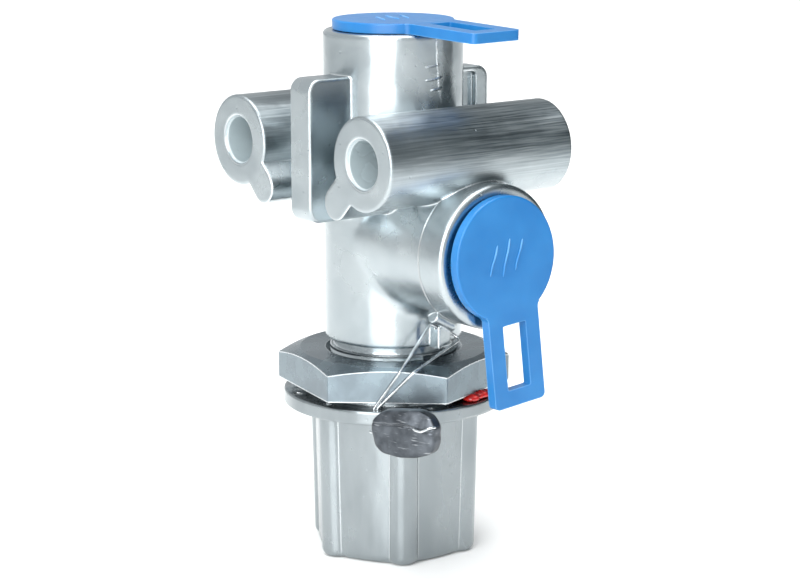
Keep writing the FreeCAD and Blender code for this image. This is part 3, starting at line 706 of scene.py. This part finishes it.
def castFlash():
    # flash: z rises evenly over s and angle = from + (to - from) s^(1/2) + wobble
    # mark: the angle runs evenly and z = level + markWave sin(angle / 6)
    look = flashLook
    for name, (low, high, start, stop) in look["runs"].items():
        s = np.linspace(0, 1, 60)
        z = low + (high - low) * s
        angle = start + (stop - start) * np.sqrt(s) + waves(s, look["wobble"])
        path = onBarrel(angle, z, -look["sunk"])
        out = onBarrel(angle, z, 1 - look["sunk"]) - path
        across = np.cross(out, [0, 0, 1.0])
        points = bead(path, across, out, look["width"], look["height"])
        surface(name, points, castBody, "root")
    for name, (level, start, stop, height) in look["marks"].items():
        angle = np.linspace(start, stop, 40)
        z = level + 0 * angle
        path = onBarrel(angle, z + look["markWave"] * np.sin(angle / 6), -look["sunk"])
        out = onBarrel(angle, z, 1 - look["sunk"]) - onBarrel(angle, z, -look["sunk"])
        up = np.broadcast_to([0, 0, 1.0], path.shape)
        surface(name, bead(path, up, out, look["markWidth"], height), castBody, "root")


# Main spring: round wire, open turns between two flat end turns, both ends ground. It is worked
# out here as a coil of its own in place of the solid; the real spring shortens when the piston
# opens, which neither the solid nor this coil shows.
springShape = {
    "low": 4.1,
    "high": 34.5,
    "mean": 6.6,  # radius to the middle of the wire
    "wire": 2.2,
    "turns": 7,
    "flat": 150.0,  # degrees of flat turn at each end
    "travel": 2.5,
}


def compressionSpring():
    # axis: a(s) = flat turn, helix, flat turn; z rises evenly over the helix only
    # P(s, t) = axis(s) + wire/2 (outwards cos t + up' sin t), with z held between the ground ends
    look = springShape
    r = look["wire"] / 2
    angle = np.radians(np.linspace(-look["flat"], 360 * look["turns"] + look["flat"], 760))
    share = np.clip(angle / (2 * np.pi * look["turns"]), 0, 1)
    z = look["low"] + r / 2 + (look["high"] - look["low"] - r) * share
    out = np.stack([np.cos(angle), np.sin(angle), 0 * angle], axis=-1)
    path = out * look["mean"] + np.stack([0 * z, 0 * z, z], axis=-1)
    points = bead(path, out * 2, np.cross(out, directions(path)), r, r, end=4000, columns=24)
    points[..., 2] = np.clip(points[..., 2], look["low"], look["high"])
    coil = surface("compressionSpring", points, tempered, "root")
    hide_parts("main_spring")
    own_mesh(coil)


# Lead seal: a slug squeezed between plier jaws. Its front leans back above a crease, its rim is
# lumpy, and the end of the wire lies over its right shoulder.
sealLook = {
    "centre": (-14.76, -23.08, 29.2),
    "turn": 19.0,
    "lean": 6.0,
    "width": 13.7,
    "height": 8.9,
    "thick": 4.4,
    "squareness": 2.9,  # 2 is an ellipse
    "rim": 0.42,  # small is a sharp rim
    "lumps": ((0.012, 3, 0.6), (0.01, 7, 0), (0.006, 13, 1)),
    "crease": (1.86, 0.26, -0.7),  # height, fall to the right, where the fall starts
    "creaseWave": ((0.05, 2.1, 0),),
    "creaseDepth": 0.3,
    "creaseWidth": 0.22,
    "facet": 0.42,  # slope above the crease
    "rightFall": (0.12, -0.9),  # slope and where it starts
    "hammered": (0.05, 1.9, 0.7, 2.3, 0.4),  # height, then count and start across and up
    "dents": ((0.25, 3.2, -2.0, 0.5, 0.5), (0.18, -1.0, -2.6, 2.5, 0.25)),
}


def sealFrame():
    # rows: across the slug, up it, and out of its front
    turn, lean = math.radians(sealLook["turn"]), math.radians(sealLook["lean"])
    across = np.array([-math.sin(turn), math.cos(turn), 0])
    up = across * math.sin(lean) + np.array([0, 0, math.cos(lean)])
    front = np.array([-math.cos(turn), -math.sin(turn), 0])
    return np.stack([across * math.cos(lean) - np.array([0, 0, math.sin(lean)]), up, front])


def creaseHeight(a):
    # q(a) = height - fall max(start - a, 0) + wave
    height, fall, start = sealLook["crease"]
    return height - fall * np.clip(start - a, 0, None) + waves(a, sealLook["creaseWave"])


def leadSlug():
    # outline: |a / w|^n + |q / h|^n = 1; profile: (rho, tau) = (|sin v|^p, sign(cos v) |cos v|^p)
    # front: the crease is a furrow exp(-(gap / creaseWidth)^2), the face above it slopes back, the
    # right falls away, and a dent is depth exp(-((a - a0)^2 / sa + (q - q0)^2 / sq)); all of it
    # fades towards the rim
    # rows are even in rho over both faces and even in v round the rim
    look = sealLook
    n, p = look["squareness"], look["rim"]
    face = np.arcsin(np.linspace(0, 0.93, 64) ** (1 / p))
    rim = np.linspace(face[-1], np.pi - face[-1], 44)[1:-1]
    v = np.concatenate([face, rim, np.pi - face[::-1]])[:, None]
    t = np.linspace(0, 2 * np.pi, 200, endpoint=False)[None, :]
    edge = (np.abs(np.cos(t)) ** n + np.abs(np.sin(t)) ** n) ** (-1 / n)
    rho = np.abs(np.sin(v)) ** p * edge * (1 + waves(t, look["lumps"]))
    tau = np.sign(np.cos(v)) * np.abs(np.cos(v)) ** p
    a = rho * np.cos(t) * look["width"] / 2 / 1.03  # 1.03 and 1.02 leave room for the lumps
    q = rho * np.sin(t) * look["height"] / 2 / 1.03
    c = tau * look["thick"] / 2 / 1.02
    beat, countA, startA, countQ, startQ = look["hammered"]
    c = c + beat * np.sin(countA * a + startA) * np.sin(countQ * q + startQ) * np.abs(tau)
    gap = q - creaseHeight(a)
    fall, fallStart = look["rightFall"]
    pressed = (look["creaseDepth"] * np.exp(-(gap / look["creaseWidth"]) ** 2)
               + look["facet"] * np.clip(gap, 0, 3) + fall * np.clip(fallStart - a, 0, 4))
    for depth, a0, q0, sa, sq in look["dents"]:
        pressed = pressed + depth * np.exp(-((a - a0) ** 2 / sa + (q - q0) ** 2 / sq))
    front = np.clip(tau, 0, 1) * np.clip(1.15 - rho / edge, 0, 1) ** 0.3
    points = np.stack([a, q, c - front * pressed], axis=-1) @ sealFrame() + np.array(look["centre"])
    slug = surface("crimpedSeal", points, lead, "root")
    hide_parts("lead_seal")


# Wire's end: out of the crease, over the shoulder and down. Each knot says how far it lies
# across, up and out of the slug.
wireEndShape = {
    "knots": ((-2.6, 1.2, 1.7), (-3.4, 1.0, 2.05), (-4.5, 0.85, 2.28), (-5.4, 1.15, 2.36),
              (-6.2, 1.5, 2.2), (-6.7, 1.6, 1.6), (-6.9, 1.5, 0.9)),
    "thick": 0.5,
    "smoothings": 12,
}


def wireEnd():
    # path: straight between the knots, then each smoothing averages a point with its neighbours
    # P(s, t) = path(s) + thick/2 (side cos t + across it sin t)
    look = wireEndShape
    knots = np.array(look["knots"])
    s, at = np.linspace(0, 1, 80), np.linspace(0, 1, len(knots))
    path = np.stack([np.interp(s, at, column) for column in knots.T], axis=-1)
    for _ in range(look["smoothings"]):
        path[1:-1] = (path[:-2] + 2 * path[1:-1] + path[2:]) / 4
    path = path @ sealFrame() + np.array(sealLook["centre"])
    along = directions(path)
    side = np.cross(along, [0, 0, 1.0])
    side /= np.linalg.norm(side, axis=1, keepdims=True)
    points = bead(path, side, np.cross(side, along), look["thick"], look["thick"] / 2, end=30)
    surface("sealWireEnd", points, brightWire, "root")


# Lacquer: brushed on thick across the gap between the nut and the flange, with a run at one end
lacquerShape = {
    "from": 6.5,
    "to": 30.0,
    "radius": 18.9,
    "z": 31.78,
    "width": 3.3,
    "height": 0.72,
    "outWaves": ((0.14, 9, 0), (0.1, 23, 1)),
    "upWaves": ((-0.06, 7, 0.5),),
    "swellWaves": ((0.12, 14, 0.3), (0.07, 33, 0)),
}


def lacquerDab():
    # path: angle even over s, r = radius + outWaves(s), z = z + upWaves(s); a bead round it swells
    # by 1 + swellWaves(s) outwards and by half of that upwards
    look = lacquerShape
    s = np.linspace(0, 1, 120)
    angle = np.radians(look["from"] + (look["to"] - look["from"]) * s)
    r = look["radius"] + waves(s, look["outWaves"])
    out = np.stack([np.sin(angle), -np.cos(angle), 0 * angle], axis=-1)
    up = np.broadcast_to([0, 0, 1.0], out.shape)
    path = out * r[:, None] + up * (look["z"] + waves(s, look["upWaves"]))[:, None]
    swell = (1 + waves(s, look["swellWaves"]))[:, None]
    points = bead(path, out * swell, up * (0.5 + 0.5 * swell), look["width"], look["height"],
                  end=4, columns=28)
    dab = surface("lacquerDab", points, lacquer, "root")
    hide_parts("sealing_paint")


# Plugs: each disc has three slender raised bars
plugShape = {
    "face": 1.88,  # height of the disc's face over its seat
    "barWidth": 0.42,
    "barHeight": 0.24,
    "spacing": 2.9,
    "slant": (2.4, 6.6),  # a bar's run along x and y
    "slantLength": 7.0,
    "outerBars": 0.8,  # their length, next to the middle one's
    "shift": 0.3,
    "bend": ((0.06, 9, 0),),
    "topTurn": 4.4,
    "topUp": 98.8,
    "sideTurn": 5.2,
    "sideTip": -1.9,
    "sideSeat": 1.535,
    "sideOut": 29.425,
}


def topPlace(x, y, z):
    # turned by topTurn about Z, on top of the barrel
    a = math.radians(plugShape["topTurn"])
    return np.stack([x * math.cos(a) - y * math.sin(a), x * math.sin(a) + y * math.cos(a),
                     z + plugShape["topUp"] + 0 * x], axis=-1)


def sidePlace(x, y, z):
    # turned by sideTurn about its own axis, laid along -Y, tipped by sideTip about the port's mouth
    a, b = math.radians(plugShape["sideTurn"]), math.radians(plugShape["sideTip"])
    u = x * math.cos(a) - y * math.sin(a)
    v = x * math.sin(a) + y * math.cos(a)
    w = z + plugShape["sideSeat"] + 0 * x
    return np.stack([u, -w * math.cos(b) - v * math.sin(b) - plugShape["sideOut"],
                     v * math.cos(b) - w * math.sin(b) + sidePortUp], axis=-1)


def raisedBars():
    # path: x = i spacing + slant.x s + bend(s), y = slant.y s + shift, with s from -1/2 to 1/2
    look = plugShape
    runX, runY = look["slant"]
    face, length = look["face"], look["slantLength"]
    s = np.linspace(-0.5, 0.5, 40)
    for kind, place, rider in (("top", topPlace, "top_plug"), ("side", sidePlace, "side_plug")):
        for i in (-1, 0, 1):
            x = i * look["spacing"] + runX * s + waves(s, look["bend"])
            y = runY * s * (1.0 if i == 0 else look["outerBars"]) + look["shift"]
            path = place(x, y, face)
            out = place(x, y, face + 1) - path
            across = place(x + runY / length, y - runX / length, face) - path
            points = bead(path, across, out, look["barWidth"], look["barHeight"])
            surface(kind + "PlugBar" + str(i + 2), points, palePlastic, rider)


castFlash()
compressionSpring()
leadSlug()
wireEnd()
lacquerDab()
raisedBars()
print("worked-out pieces are in place")
